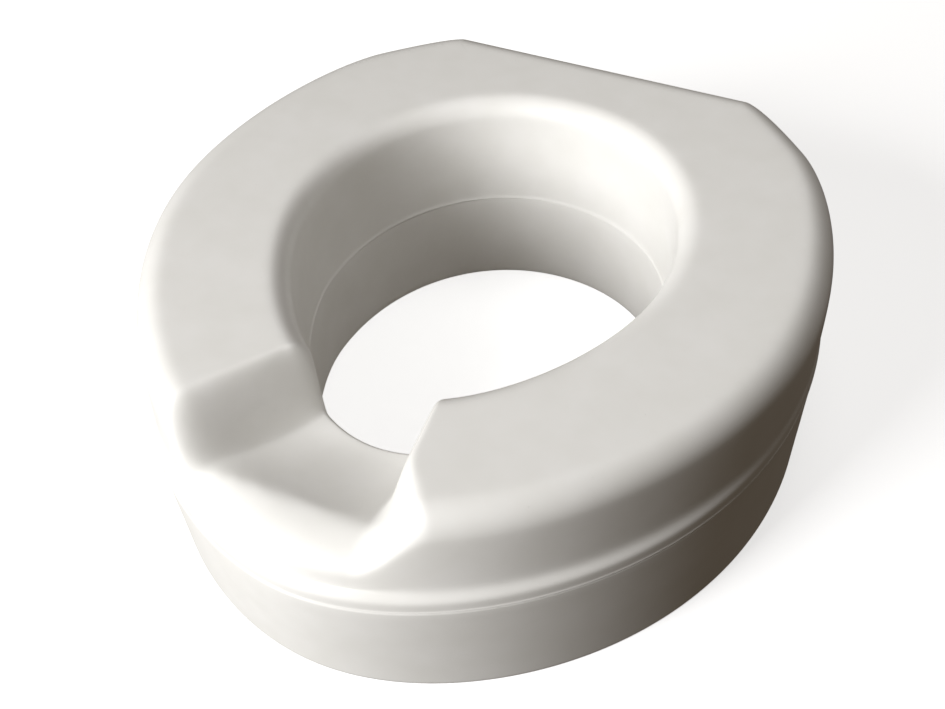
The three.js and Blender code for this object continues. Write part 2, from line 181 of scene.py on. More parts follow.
def add_node(tree, kind, values=None, links=None, **properties):
    """Adds a node with its properties, its sockets' values and the links into it."""
    node = tree.nodes.new(kind)
    for key, value in properties.items():
        setattr(node, key, value)
    for socket, value in (values or {}).items():
        node.inputs[socket].default_value = value
    for socket, source in (links or {}).items():
        tree.links.new(source, node.inputs[socket])
    return node


def place_on(tree):
    """Where a point lies on its object."""
    return add_node(tree, "ShaderNodeTexCoord").outputs["Object"]


def noise(tree, place, size, detail=2.0):
    """A cloudy pattern whose patches are about as wide as size in millimetres."""
    return add_node(tree, "ShaderNodeTexNoise", {"Scale": 1 / (size * MM), "Detail": detail},
                    {"Vector": place}).outputs["Fac"]


def spread(tree, source, low, high, to_low, to_high):
    """Maps a pattern from one range to another and stops at the ends."""
    return add_node(tree, "ShaderNodeMapRange",
                    {"From Min": low, "From Max": high, "To Min": to_low, "To Max": to_high},
                    {"Value": source}).outputs["Result"]


def bump(tree, shader, height, depth, below=None):
    """Raises and sinks the surface by a pattern, depth millimetres in all."""
    links = {"Height": height}
    if below:
        links["Normal"] = below
    node = add_node(tree, "ShaderNodeBump", {"Strength": 1.0, "Distance": depth * MM}, links)
    tree.links.new(node.outputs["Normal"], shader.inputs["Normal"])
    return node.outputs["Normal"]


def tint(tree, shader, source, colour_low, colour_high):
    """Colours the shader between two hex colours by a pattern from 0 to 1."""
    mix = add_node(tree, "ShaderNodeMix", {6: srgb(colour_low), 7: srgb(colour_high)},
                   {0: source}, data_type="RGBA")
    tree.links.new(mix.outputs[2], shader.inputs["Base Color"])


def vary_roughness(tree, shader, size, low, high):
    """Lets the gloss wander between two roughnesses in patches of a size in millimetres."""
    pattern = noise(tree, place_on(tree), size)
    tree.links.new(spread(tree, pattern, 0.3, 0.7, low, high), shader.inputs["Roughness"])


# %% [markdown]
# The foam's skin forms against the mould: off-white, matt and slightly uneven. It has a fine grain,
# scattered pinholes where gas bubbles broke, and a faint waviness from the mould's surface.

# %% Foam skin
foam_skin, tree, shader = new_material("integral_skin_polyurethane_foam", "#E3E2DE", 0.52)
place = place_on(tree)
tint(tree, shader, spread(tree, noise(tree, place, 28, 3.0), 0.3, 0.7, 0, 1), "#E1E0DC", "#E5E4E1")
vary_roughness(tree, shader, 9, 0.48, 0.57)
waves = bump(tree, shader, noise(tree, place, 32, 1.0), 0.12)
grain = bump(tree, shader, noise(tree, place, 0.9, 2.0), 0.02, waves)
bubbles = add_node(tree, "ShaderNodeTexVoronoi", {"Scale": 1 / (11 * MM)}, {"Vector": place})
PINHOLE = 0.04
pinholes = spread(tree, bubbles.outputs["Distance"], PINHOLE * 0.5, PINHOLE, 0, 1)
bump(tree, shader, pinholes, 0.1, grain)

# %% [markdown]
# The hidden parts: birch plywood, bright zinc plate on steel, turned brass, black rubber, light
# grey nylon for the brackets, and black nylon for the thumb nuts. Plywood's grain is a cloudy
# pattern stretched along the seat. Plated and turned metal differ from point to point in gloss.

# %% Plywood, metal, rubber and nylon
plywood, tree, shader = new_material("birch_plywood", "#C9A774", 0.7)
along = add_node(tree, "ShaderNodeMapping", {"Scale": (1.0, 0.08, 1.0)}, {"Vector": place_on(tree)})
fibres = spread(tree, noise(tree, along.outputs[0], 2.5, 4.0), 0.35, 0.65, 0, 1)
tint(tree, shader, fibres, "#B8935E", "#D8BA88")

zinc, tree, shader = new_material("zinc_plated_steel", "#B9BDC4", 0.32, metallic=1.0)
vary_roughness(tree, shader, 1.5, 0.26, 0.42)

brass, tree, shader = new_material("turned_brass", "#C8A04C", 0.3, metallic=1.0)
vary_roughness(tree, shader, 0.8, 0.25, 0.4)

rubber, tree, shader = new_material("black_nitrile_rubber", "#2B2C2E", 0.75)
bump(tree, shader, noise(tree, place_on(tree), 0.6, 3.0), 0.03)

nylon, tree, shader = new_material("light_grey_moulded_nylon", "#C9CAC7", 0.45)
bump(tree, shader, noise(tree, place_on(tree), 0.5, 2.0), 0.012)

black_nylon, tree, shader = new_material("spark_textured_black_nylon", "#26272A", 0.5)
bump(tree, shader, noise(tree, place_on(tree), 0.35, 2.0), 0.02)


def finish_piece(obj, material, body, node):
    """Gives a piece its material, its body and the CAD node it replaces."""
    obj.data.materials.clear()
    obj.data.materials.append(material)
    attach(obj, body)
    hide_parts(node)


def middle_of(node):
    """The middle of a CAD node in millimetres."""
    low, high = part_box(node)
    return (Vector(low) + Vector(high)) / 2 / MM


print("materials:", len(bpy.data.materials))

# %% [markdown]
# ## Floor and light
# The floor is a matt translucent sheet that is lit faintly from behind, so that the seat's shadow
# on it stays pale. Its glow doesn't reach the seat. One broad soft box stands low in front, on the
# left. It makes the left walls white and leaves the right side in warm shade. A weak small one
# close behind on the right lifts the top, most of all at the back.

# %% Floor and light
FLOOR_GLOW = 0.68
WORLD_GLOW = 0.085
LIGHT_TARGET = Vector((0, 0, 70 * MM))
bpy.ops.mesh.primitive_plane_add(size=8, location=(0, 0, 0))
floor = bpy.context.object
floor.name = "floor"
floor_sheet, tree, shader = new_material("opal_acrylic_sheet", "#D8D8D8", 0.9)
shader.inputs["Emission Color"].default_value = srgb("#FFFFFF")
shader.inputs["Emission Strength"].default_value = FLOOR_GLOW
floor.data.materials.append(floor_sheet)
floor.visible_diffuse = False
floor.visible_glossy = False


def soft_box(name, azimuth, elevation, distance, size, power):
    """A square area light that faces the middle of the seat, with its angles in degrees."""
    way = direction(math.radians(azimuth), math.radians(elevation))
    bpy.ops.object.light_add(type="AREA", location=LIGHT_TARGET + way * distance)
    light = bpy.context.object
    light.name = name
    light.rotation_mode = "QUATERNION"
    light.rotation_quaternion = (-way).to_track_quat("-Z", "Y")
    light.data.size = size
    light.data.energy = power


soft_box("key_light", azimuth=-29, elevation=26, distance=2.2, size=1.2, power=74)
soft_box("fill_light", azimuth=140, elevation=68, distance=0.75, size=0.35, power=1.2)

world = bpy.data.worlds.new("studio")
world.use_nodes = True
background = world.node_tree.nodes["Background"]
background.inputs["Color"].default_value = srgb("#FFE8CE")
background.inputs["Strength"].default_value = WORLD_GLOW
bpy.context.scene.world = world
bpy.context.scene.view_settings.view_transform = "Standard"

# %% [markdown]
# ## The plan outlines
# Seen from above, the seat is a D: a pointed-oval front, sides that swell to 400 mm, cut-off
# corners and a straight back. The hole is an egg with its narrow end in front. Both are drawn from
# the middle of the front, round the right side, to the middle of the back, and mirrored. They get
# the same number of points, so that their loops can be bridged, and the points crowd at the front,
# where the recess needs them.

# %% Plan outlines
HEIGHT = 141
HALF_WIDTH = 199.4
FRONT_Y = -211.8
BACK_Y = 211.2
WIDEST_Y = 20
HOLE_HALF_WIDTH = 107.5
HOLE_FRONT_Y = -113
HOLE_BACK_Y = 145.5
HOLE_WIDEST_Y = 24
FRONT_STEPS = 96
SIDE_STEPS = 36
CORNER_STEPS = 18
BACK_STEPS = 16
FRONT_CROWDING = 1.3


def bezier(a, b, c, d, steps, crowding=1.0):
    """Points along a cubic curve, all but its end; crowding above 1 packs them to its start."""
    points = []
    for k in range(steps):
        t = (k / steps) ** crowding
        u = 1 - t
        weights = (u ** 3, 3 * u * u * t, 3 * u * t * t, t ** 3)
        points.append(tuple(sum(w * p[i] for w, p in zip(weights, (a, b, c, d))) for i in (0, 1)))
    return points


def mirrored(half, end):
    """A whole loop from its right half, counter-clockwise from the middle of the front."""
    return half + [end] + [(-x, y) for x, y in reversed(half[1:])]


widest = (HALF_WIDTH, WIDEST_Y)
corner_start, corner_peak, corner_end = (149, 173), (111, BACK_Y), (100, BACK_Y)
pulls = [tuple(p + (q - p) * 2 / 3 for p, q in zip(start, corner_peak))
         for start in (corner_start, corner_end)]
outer_half = bezier((0, FRONT_Y), (82, FRONT_Y), (HALF_WIDTH, WIDEST_Y - 141), widest,
                    FRONT_STEPS, FRONT_CROWDING)
outer_half += bezier(widest, (HALF_WIDTH, 88), (171, 151), corner_start, SIDE_STEPS)
outer_half += bezier(corner_start, *pulls, corner_end, CORNER_STEPS)
outer_half += bezier(corner_end, (67, BACK_Y), (33, BACK_Y), (0, BACK_Y), BACK_STEPS)
OUTER = mirrored(outer_half, (0, BACK_Y))

hole_half = bezier((0, HOLE_FRONT_Y), (56, HOLE_FRONT_Y), (HOLE_HALF_WIDTH, HOLE_WIDEST_Y - 55),
                   (HOLE_HALF_WIDTH, HOLE_WIDEST_Y), FRONT_STEPS, FRONT_CROWDING)
hole_half += bezier((HOLE_HALF_WIDTH, HOLE_WIDEST_Y), (HOLE_HALF_WIDTH, HOLE_WIDEST_Y + 70),
                    (61, HOLE_BACK_Y), (0, HOLE_BACK_Y), SIDE_STEPS + CORNER_STEPS + BACK_STEPS)
HOLE = mirrored(hole_half, (0, HOLE_BACK_Y))
print("points in each outline:", len(OUTER), len(HOLE))

# %% [markdown]
# ## Walls as swept sections
# A wall that keeps its section all the way round is a curve with a bevel object: the outline is
# the path, and the wall's section is drawn flat and carried along it. A section's first number is
# how far in from the outline it lies, and its second is the height. Where the section changes on
# its way round, a rule moves each vertex along its own inward line.

# %% Sweep a section along an outline
def flat_curve(name, points, closed):
    """A curve of straight steps through points in millimetres."""
    curve = bpy.data.curves.new(name, "CURVE")
    curve.dimensions = "2D"
    curve.fill_mode = "NONE"
    spline = curve.splines.new("POLY")
    spline.points.add(len(points) - 1)
    for point, (x, y) in zip(spline.points, points):
        point.co = (x * MM, y * MM, 0, 1)
    spline.use_cyclic_u = closed
    obj = bpy.data.objects.new(name, curve)
    bpy.context.scene.collection.objects.link(obj)
    return obj


def swept_wall(name, outline, section, rule):
    """The open wall of a section carried along an outline, its insets and heights set by a rule.

    The mesh holds one copy of the section for each point, from the last point to the first. The
    inward line is measured by the inset, so no section has an inset of 0.
    """
    path = flat_curve(name, outline, closed=True)
    profile = flat_curve(name + "_section", section, closed=False)
    path.data.bevel_mode = "OBJECT"
    path.data.bevel_object = profile
    only(path)
    bpy.ops.object.convert(target="MESH")
    bpy.data.objects.remove(profile)
    wall = bpy.context.object
    for index, vertex in enumerate(wall.data.vertices):
        start = Vector(outline[-1 - index // len(section)])
        inset, height = section[index % len(section)]
        inward = (vertex.co.xy / MM - start) / inset
        inset, height = rule(start, inward, inset, height)
        vertex.co.xy = (start + inward * inset) * MM
        vertex.co.z = height * MM
    return wall


def arc(centre, radius, start, end, steps):
    """Points on an arc of a section, with its angles in degrees and both ends included."""
    angles = [math.radians(start + (end - start) * k / steps) for k in range(steps + 1)]
    return [(centre[0] + radius * math.cos(a), centre[1] + radius * math.sin(a)) for a in angles]


def bridge_at(obj, height, cuts):
    """Joins the two open loops at one height with new faces."""
    def at_rim(edge):
        level = (edge.verts[0].co.z + edge.verts[1].co.z) / 2
        return edge.is_boundary and abs(level - height * MM) < 0.02 * MM
    select_where(obj, "EDGE", at_rim)
    bpy.ops.mesh.bridge_edge_loops(number_cuts=cuts, interpolation="LINEAR")
    bpy.ops.object.mode_set(mode="OBJECT")


def join(first, *others):
    """Joins the other objects into the first."""
    only(first)
    for other in others:
        other.select_set(True)
    bpy.ops.object.join()
    return first


# %% [markdown]
# ## Front recess
# The front dips so that a hand can reach in. On the left a long flank slants down, on the right
# the flank is steep, and the floor falls from a broad rounded lip towards the hole, where its edge
# is crisp. Such exact slopes are hard to pull by hand, so a formula says how far each point sinks.

# %% Recess shape
LIP_Z = 108
INNER_Z = 92
LIP_Y = FRONT_Y + 34
FLOOR_END_Y = HOLE_FRONT_Y - 6
FLOOR_CURVE = 1.6
FLARE_START = 150
FLARE_END = 195
LEFT_FLANK = {"top": ((-47, -101), (-84, -152)), "foot": ((-39, -108), (-64, -171)), "side": 1,
              "flare": 0}
RIGHT_FLANK = {"top": ((38, -104), (50, -190)), "foot": ((25, -104), (29, -190)), "side": -1,
               "flare": 24}


def left_of(line, x, y):
    """Distance from a plan line, positive to the left of someone who walks along it."""
    (xa, ya), (xb, yb) = line
    return ((xb - xa) * (y - ya) - (yb - ya) * (x - xa)) / math.hypot(xb - xa, yb - ya)


def down_flank(flank, x, y):
    """How far down a flank a point is: 0 at its top edge and 1 at its foot.

    A flare moves the top edge away from the recess towards the front.
    """
    past_top = flank["side"] * left_of(flank["top"], x, y)
    past_top += flank["flare"] * ramp(-y, FLARE_START, FLARE_END)
    before_foot = -flank["side"] * left_of(flank["foot"], x, y)
    if past_top <= 0:
        return 0.0
    return 1.0 if before_foot <= 0 else ramp(past_top / (past_top + before_foot), 0, 1)


def recess_share(x, y):
    """0 outside the recess and 1 on its floor."""
    return down_flank(LEFT_FLANK, x, y) * down_flank(RIGHT_FLANK, x, y)


def recess_depth(x, y):
    """How far the top drops at a point of the plan."""
    to_lip = min(1.0, max(0.0, (FLOOR_END_Y - y) / (FLOOR_END_Y - LIP_Y)))
    return (HEIGHT - INNER_Z - (LIP_Z - INNER_Z) * to_lip ** FLOOR_CURVE) * recess_share(x, y)


print("recess depth at its middle in mm:", round(recess_depth(0, -160), 1))

# %% [markdown]
# ## Upper moulding
# The outer wall climbs from the parting line over a soft ledge and rolls over into the top. The
# body is set back behind the ledge at the front and bulges over it at the sides. The hole's wall
# drops from a rounded rim. A lip of a third of a millimetre at the parting line is the flash that
# the mould leaves. Close pairs of points keep a bend tight when the mesh is smoothed.

# %% Upper moulding: sections
SEAM_OUT = 75.5
SEAM_IN = 66.7
HALF_GAP = 0.15
LEDGE_TOP = 84
ROUND_OUT = 17
ROUND_IN = 13
HOLE_FLARE = 2.7
FLASH = 0.35
LAND_OUT = 26
LAND_IN = 20
LIP_EXTRA = 12
LIP_ROUND = 14
RECESS_HOLE_ROUND = 3
SIDE_BULGE = 0.6
FRONT_SET_BACK = 5.0
LEDGE_LOW = 82
LEDGE_HIGH = 89
LEDGE_SHARE = 0.6

seam_up = SEAM_OUT + HALF_GAP
land_up = SEAM_IN + HALF_GAP
outer_section = [
    (LAND_OUT, seam_up), (12, seam_up), (1.0, seam_up), (-FLASH, seam_up + 0.05),
    (-FLASH, seam_up + 0.5), (0.1, seam_up + 1), (0.05, seam_up + 2.4), (0.05, 81), (0.1, 83),
    (0.55, 84.6), (1.0, 86), (1.2, 88), (1.15, 91), (0.8, 96), (0.5, 104), (0.2, 114),
]
outer_section += arc((ROUND_OUT + 0.05, HEIGHT - ROUND_OUT), ROUND_OUT, 180, 90, 8)
inner_section = arc((-HOLE_FLARE - ROUND_IN, HEIGHT - ROUND_IN), ROUND_IN, 90, 0, 7)
inner_section += [
    (-2.3, 118), (-1.9, 107), (-1.4, 95), (-0.9, 84), (-0.5, 74), (-0.4, land_up + 1.6),
    (0.3, land_up + 0.6), (0.3, land_up + 0.1), (-1, land_up), (-10, land_up),
    (-LAND_IN, land_up), (-LAND_IN, seam_up),
]


def wall_inset(inward):
    """How far the body above the ledge is set back: most where the wall faces the front."""
    return (SIDE_BULGE + FRONT_SET_BACK) * ramp(inward.y, 0, 0.65) - SIDE_BULGE


def set_back_share(height):
    """How much of the set-back a height takes: it starts at the ledge and is whole at the roll."""
    if height < LEDGE_HIGH:
        return LEDGE_SHARE * ramp(height, LEDGE_LOW, LEDGE_HIGH)
    risen = min(1.0, (height - LEDGE_HIGH) / (HEIGHT - ROUND_OUT - LEDGE_HIGH))
    return LEDGE_SHARE + 0.4 * risen ** 0.6


def shape_outside(start, inward, inset, height):
    """Sets the body back on its ledge, and broadens its roll into the top across the recess."""
    if height <= LEDGE_LOW:
        return inset, height
    back = wall_inset(inward)
    if height < HEIGHT - ROUND_OUT:
        return inset + back * set_back_share(height), height
    run = inset / ROUND_OUT
    share = recess_share(*(start + inward * (inset + back)))
    tall = ROUND_OUT + (LIP_ROUND - ROUND_OUT) * share
    return inset + back + LIP_EXTRA * share * run, HEIGHT - (HEIGHT - height) * tall / ROUND_OUT


def shape_hole(start, inward, inset, height):
    """Makes the edge of the hole crisp where the recess meets it."""
    if height < HEIGHT - ROUND_IN:
        return inset, height
    share = recess_share(*(start + inward * inset))
    smaller = (ROUND_IN + (RECESS_HOLE_ROUND - ROUND_IN) * share) / ROUND_IN
    return -HOLE_FLARE + (inset + HOLE_FLARE) * smaller, HEIGHT - (HEIGHT - height) * smaller


# %% Cutters
def block_tool(low, high):
    """A block between two corners in millimetres, ready to be cut out of something."""
    middle = [(a + b) / 2 * MM for a, b in zip(low, high)]
    bpy.ops.mesh.primitive_cube_add(size=1, location=middle)
    block = bpy.context.object
    block.scale = [(b - a) * MM for a, b in zip(low, high)]
    bpy.ops.object.transform_apply(scale=True)
    return block


def round_tool(radius, low, high, x, y, sides=48):
    """An upright cylinder in millimetres, ready to be cut out of something."""
    bpy.ops.mesh.primitive_cylinder_add(vertices=sides, radius=radius * MM, depth=(high - low) * MM,
                                        location=(x * MM, y * MM, (low + high) / 2 * MM))
    return bpy.context.object


def cut_out(obj, tools):
    """Cuts tools that don't touch each other out of an object and throws them away."""
    tool = join(*tools)
    apply_modifier(obj, "BOOLEAN", operation="DIFFERENCE", object=tool, solver="EXACT")
    bpy.data.objects.remove(tool)


# %% Upper moulding: walls, top and recess
TOP_CUTS = 12
upper = join(swept_wall("upper_outside", OUTER, outer_section, shape_outside),
             swept_wall("hole_wall", HOLE, inner_section, shape_hole))
bridge_at(upper, HEIGHT, TOP_CUTS)
bridge_at(upper, seam_up, 1)
close_shape(upper)

# The recess presses the top down and squeezes the walls below it, from a height that stays still
# up to one that drops by the whole depth.
for vertex in upper.data.vertices:
    x, y, z = (c / MM for c in vertex.co)
    near_hole = ramp(y, FRONT_Y + 40, HOLE_FRONT_Y - 15)
    still = LEDGE_TOP + 3 + (SEAM_IN + 2 - LEDGE_TOP) * near_hole
    whole = HEIGHT - ROUND_OUT + (ROUND_OUT - ROUND_IN) * near_hole
    share = min(1.0, max(0.0, (z - still) / (whole - still)))
    vertex.co.z -= MM * share * recess_depth(x, y)

apply_modifier(upper, "SUBSURF", levels=1, render_levels=1)
screw_places = [middle_of(f"joining_screw_{k}") for k in range(1, 7)]
INSERT_HOLE = 5.3
INSERT_HOLE_TOP = 85.5
cut_out(upper, [round_tool(INSERT_HOLE, SEAM_OUT - 1, INSERT_HOLE_TOP, p.x, p.y)
                for p in screw_places])
smooth_by_angle(upper, 60)
settle(upper, "upper_moulding")
finish_piece(upper, foam_skin, "seat", "seat_upper")
print("upper moulding faces:", len(upper.data.polygons))

# %% [markdown]
# ## Lower moulding
# The lower body tapers a little towards its foot. Underneath it is a channel that takes the rim of
# the bowl: an outer skirt, an inner guard round the hole, and a flat deck between them. Pockets
# for the clamps and stepped holes for the joining screws are cut up into the deck.

# %% Lower moulding: sections
DECK_Z = 28
FOOT_DRAW = 3.5
TAPER_TOP = 60
SKIRT_OUTSIDE = 10
seam_down = SEAM_OUT - HALF_GAP
land_down = SEAM_IN - HALF_GAP

lower_outer = [
    (LAND_OUT, land_down), (LAND_OUT, seam_down), (12, seam_down), (1.4, seam_down),
    (0.5, seam_down - 0.15), (0.1, seam_down - 0.6), (0.05, seam_down - 2), (0.5, 68), (1.4, 55),
    (2.3, 40), (3.3, 25), (4.2, 10), (4.6, 3), (4.7, 1.3), (5.1, 0.4), (5.9, 0), (7, 0), (15, 0),
    (15.9, 0), (16.5, 0.4), (16.7, 1.3), (16.7, 4), (16.7, 15), (16.7, DECK_Z - 5),
    (17.1, DECK_Z - 2.4), (18.2, DECK_Z - 0.8), (20, DECK_Z - 0.1), (21.5, DECK_Z),
]
lower_inner = [
    (-16, DECK_Z), (-14, DECK_Z - 0.2), (-12.4, DECK_Z - 1.2), (-11.3, DECK_Z - 3), (-11, 22),
    (-11, 15), (-11, 4), (-11, 1.4), (-10.7, 0.4), (-10, 0), (-9, 0), (-4, 0), (-3.2, 0),
    (-2.4, 0.3), (-2, 1.2), (-1.9, 4), (-1.6, 20), (-1.2, 40), (-0.7, 58), (-0.3, land_down - 1.6),
    (-0.4, land_down - 0.5), (-0.9, land_down - 0.1), (-2.2, land_down), (-10, land_down),
    (-LAND_IN, land_down),
]


def shape_foot(start, inward, inset, height):
    """Draws the front of the foot in a little further than the rest."""
    if height > TAPER_TOP:
        return inset, height
    share = 1 - height / TAPER_TOP if inset < SKIRT_OUTSIDE else 1
    return inset + FOOT_DRAW * max(0.0, inward.y) ** 6 * share, height


def as_drawn(start, inward, inset, height):
    """Leaves a section as it is."""
    return inset, height


# %% Lower moulding: walls, deck and holes
lower = join(swept_wall("lower_outside", OUTER, lower_outer, shape_foot),
             swept_wall("lower_hole_wall", HOLE, lower_inner, as_drawn))
bridge_at(lower, land_down, 1)
bridge_at(lower, DECK_Z, 5)
close_shape(lower)

# A narrow tool reaches a little way into the wide hole that is already there.
POCKET_IN = 128
POCKET_OUT = 184
POCKET_HALF = 19
POCKET_TOP = 39.6
CLAMP_Y = 5
STUD_X = 152
STUD_HEAD_HOLE = 7.3
STUD_HEAD_LOW = 62.1
SHANK_HOLE = 3.4
COUNTERBORE = 7.2
COUNTERBORE_TOP = 34.6
below_deck = DECK_Z - 3
above_land = SEAM_IN + 2
wide_tools = [round_tool(COUNTERBORE, below_deck, COUNTERBORE_TOP, p.x, p.y) for p in screw_places]
narrow_tools = [round_tool(SHANK_HOLE, COUNTERBORE_TOP - 0.6, above_land, p.x, p.y)
                for p in screw_places]
for side in (1, -1):
    near, far = sorted((side * POCKET_IN, side * POCKET_OUT))
    wide_tools.append(block_tool((near, CLAMP_Y - POCKET_HALF, below_deck),
                                 (far, CLAMP_Y + POCKET_HALF, POCKET_TOP)))
    wide_tools.append(round_tool(STUD_HEAD_HOLE, STUD_HEAD_LOW, above_land, side * STUD_X, CLAMP_Y))
    narrow_tools.append(round_tool(SHANK_HOLE, POCKET_TOP - 1, STUD_HEAD_LOW + 1.6,
                                   side * STUD_X, CLAMP_Y))
cut_out(lower, wide_tools)
cut_out(lower, narrow_tools)
smooth_by_angle(lower, 40)
settle(lower, "lower_moulding")
finish_piece(lower, foam_skin, "seat", "seat_lower")
print("lower moulding faces:", len(lower.data.polygons))

# %% [markdown]
# ## Stiffener ring
# A plywood ring lies between the mouldings and keeps the foam from sagging. It is cut from flat
# sheet with plain edges. The CAD part already has that shape, so it stays and only gets its finish.

# %% Stiffener ring
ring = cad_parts["stiffener_ring"]
ring.data.materials.clear()
ring.data.materials.append(plywood)
ring_low, ring_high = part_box("stiffener_ring")
print("plywood thickness in mm:", round((ring_high.z - ring_low.z) / MM, 1))

# %% [markdown]
# ## Turned parts
# Screws, washers, inserts and studs are made on a lathe or a heading machine, so each is half a
# section that is spun round its axis. The section runs in radius and height.

# %% Spin a section
SPIN_STEPS = 40


def turned(name, section, place, closed=False):
    """A solid of revolution about an upright axis at a place, from radius and height pairs."""
    mesh = bpy.data.meshes.new(name)
    edges = [(k, k + 1) for k in range(len(section) - 1)]
    if closed:
        edges.append((len(section) - 1, 0))
    mesh.from_pydata([(r * MM, 0, z * MM) for r, z in section], edges, [])
    obj = bpy.data.objects.new(name, mesh)
    bpy.context.scene.collection.objects.link(obj)
    only(obj)
    bpy.ops.object.mode_set(mode="EDIT")
    bpy.ops.mesh.select_all(action="SELECT")
    bpy.ops.mesh.spin(steps=SPIN_STEPS, angle=2 * math.pi, center=(0, 0, 0), axis=(0, 0, 1))
    bpy.ops.object.mode_set(mode="OBJECT")
    close_shape(obj)
    obj.location = (place.x * MM, place.y * MM, 0)
    return settle(obj, name)


# %% [markdown]
# Each joining screw has a low round head with a hexagon socket, and its shank ends in a brass
# insert. The head presses on a washer at the top of its counterbore.

# %% Screws, washers and inserts
SCREW_SECTION = [
    (0, 29.3), (4.2, 29.3), (4.9, 29.5), (5.7, 30.2), (6, 31.1), (6, 32.7), (5.7, 33), (3.1, 33),
    (2.9, 33.3), (2.9, 81.6), (2.6, 82.1), (1.9, 83), (0, 83),
]
WASHER_SECTION = [(3.2, 33.3), (6.2, 33.3), (6.4, 33.5), (6.4, 34.1), (6.2, 34.3), (3.2, 34.3)]
INSERT_SECTION = [
    (3.2, 76.1), (4.8, 76.1), (5, 76.3), (5, 78.6), (4.2, 79.4), (4.2, 81.2), (5, 82), (5, 83.7),
    (4.2, 84.5), (3.2, 84.5),
]
SOCKET_RADIUS = 2.5
SOCKET_LOW = 28
SOCKET_TOP = 31.7
for k, place in enumerate(screw_places, 1):
    screw = turned(f"screw_{k}", SCREW_SECTION, place)
    socket = round_tool(SOCKET_RADIUS, SOCKET_LOW, SOCKET_TOP, place.x, place.y, sides=6)
    cut_out(screw, [socket])
    smooth_by_angle(screw, 35)
    finish_piece(screw, zinc, "seat", f"joining_screw_{k}")
    screw_washer = turned(f"washer_{k}", WASHER_SECTION, place, closed=True)
    smooth_by_angle(screw_washer, 35)
    finish_piece(screw_washer, zinc, "seat", f"screw_washer_{k}")
    insert = turned(f"insert_{k}", INSERT_SECTION, place, closed=True)
    smooth_by_angle(insert, 35)
    finish_piece(insert, brass, "seat", f"threaded_insert_{k}")
print("joining screws:", len(screw_places))

# %% [markdown]
# ## Grip pads
# Four rubber pads are glued under the deck, and two smaller ones face the clamps' brackets. Ribs
# run across each, so that it grips a wet rim. A pad starts as a plane with rounded corners that is
# sliced into strips. The plane is pulled out to the base's thickness, and every second strip of
# its lower side is pulled out further as a rib.

# %% Ribbed rubber
def ribbed_pad(name, length, width, base, rib, ribs, corner, margin):
    """A rounded pad with its flat side up at height 0 and ribs across its length underneath."""
    bpy.ops.mesh.primitive_plane_add(size=1)
    pad = bpy.context.object
    pad.scale = (length * MM, width * MM, 1)
    bpy.ops.object.transform_apply(scale=True)
    select_where(pad, "VERT", lambda v: True)
    bpy.ops.mesh.bevel(offset=corner * MM, segments=6, affect="VERTICES")
    strip = (length - 2 * corner) / (2 * ribs + 1)
    starts = [-length / 2 + corner + strip * k for k in range(1, 2 * ribs + 1)]
    cuts = [((x, 0, 0), (1, 0, 0)) for x in starts]
    cuts += [((0, y, 0), (0, 1, 0)) for y in (margin - width / 2, width / 2 - margin)]
    for point, facing in cuts:
        bpy.ops.mesh.select_all(action="SELECT")
        bpy.ops.mesh.bisect(plane_co=[c * MM for c in point], plane_no=facing)
    bpy.ops.mesh.select_all(action="SELECT")
    bpy.ops.mesh.extrude_region_move(TRANSFORM_OT_translate={"value": (0, 0, -base * MM)})
    bpy.ops.object.mode_set(mode="OBJECT")
    close_shape(pad)

    def on_rib(face):
        middle = face.calc_center_median() / MM
        order = (middle.x + length / 2 - corner) / strip
        return (middle.z < 0.1 - base and abs(middle.y) < width / 2 - margin
                and 0 < order < 2 * ribs + 1 and int(order) % 2 == 1)
    select_where(pad, "FACE", on_rib)
    bpy.ops.mesh.extrude_region_move(TRANSFORM_OT_translate={"value": (0, 0, -rib * MM)})
    bpy.ops.object.mode_set(mode="OBJECT")
    apply_modifier(pad, "BEVEL", width=0.25 * MM, segments=2, limit_method="ANGLE",
                   angle_limit=math.radians(50))
    smooth_by_angle(pad, 40)
    pad.name = name
    return pad


def long_way(node):
    """The angle in plan of a CAD node's longer side."""
    points = [v.co.xy - middle_of(node).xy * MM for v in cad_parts[node].data.vertices]
    across = sum(p.x * p.x - p.y * p.y for p in points)
    return 0.5 * math.atan2(2 * sum(p.x * p.y for p in points), across)


# %% Grip pads under the deck
for k in range(1, 5):
    node = f"grip_pad_{k}"
    pad = ribbed_pad(f"rubber_pad_{k}", length=62, width=26, base=2.1, rib=0.9, ribs=13,
                     corner=5, margin=2)
    place = middle_of(node)
    pad.rotation_euler.z = long_way(node)
    pad.location = (place.x * MM, place.y * MM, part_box(node)[1].z)
    settle(pad, f"rubber_pad_{k}")
    finish_piece(pad, rubber, "seat", node)
print("rubber pads placed")

# %% [markdown]
# ## Side clamps
# A clamp is an L-shaped bracket of moulded nylon. Its top slides in the pocket on a steel stud, and
# its lower leg carries a ribbed rubber face that presses on the bowl's rim. A thumb nut under the
# slot holds it. The left clamp is the right one turned half round.

# %% Clamp brackets
LEG_Z = 35.2
TOP_Z = 39.2
FOOT_Z = 5
BRACKET_IN = 142
BRACKET_OUT = 180
LEG_THICK = 4
CLAMP_HALF = 17
SLOT_HALF = 3.5
TRAVEL = 12
BRACKET_CORNER = 4
BRACKET_EDGE = 0.5


